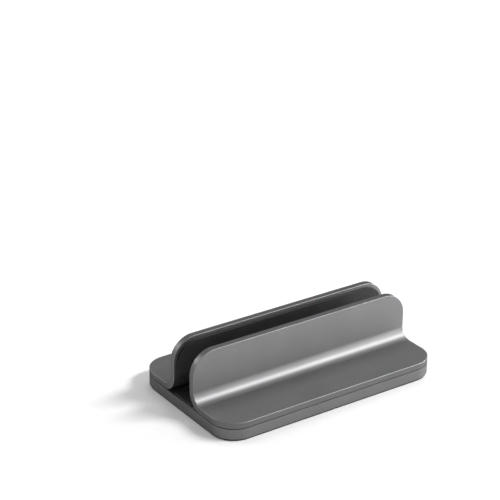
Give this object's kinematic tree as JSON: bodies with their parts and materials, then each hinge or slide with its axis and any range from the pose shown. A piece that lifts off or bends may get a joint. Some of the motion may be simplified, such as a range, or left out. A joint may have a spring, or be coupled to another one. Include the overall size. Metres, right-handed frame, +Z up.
{
  "type": "vertical laptop stand",
  "caption": "Low vertical laptop stand: bent plate brackets with soft pads slide on a flat round-cornered base and hold a closed laptop on edge.",
  "frame": {"origin": "on the table, under the middle of the base, with both brackets flush with the base's edges", "axes": "+Z up, X along the slot, +Y from the front bracket to the rear bracket"},
  "size_m": [0.176, 0.1066, 0.0488],
  "materials": {
    "grey_aluminium": "fine bead-blasted grey anodised",
    "dark_silicone": "matt moulded silicone",
    "foot_rubber": "matt moulded rubber",
    "screw_steel": "plain zinc-plated steel"
  },
  "bodies": {
    "base": {"base_plate": "grey_aluminium", "slot_floor_pad": "dark_silicone", "foot_front_left": "foot_rubber", "foot_front_right": "foot_rubber", "foot_rear_left": "foot_rubber", "foot_rear_right": "foot_rubber"},
    "front_slider": {"front_bracket": "grey_aluminium", "front_wall_pad": "dark_silicone", "front_clamp_screws": "screw_steel", "front_clamp_washers": "screw_steel"},
    "rear_slider": {"rear_bracket": "grey_aluminium", "rear_wall_pad": "dark_silicone", "rear_clamp_screws": "screw_steel", "rear_clamp_washers": "screw_steel"}
  },
  "joints": [
    {"name": "front_slide", "type": "slide", "parent": "base", "child": "front_slider", "axis": [0, -1, 0], "range_m": [-0.001, 0.012]},
    {"name": "rear_slide", "type": "slide", "parent": "base", "child": "rear_slider", "axis": [0, 1, 0], "range_m": [-0.001, 0.012]}
  ]
}
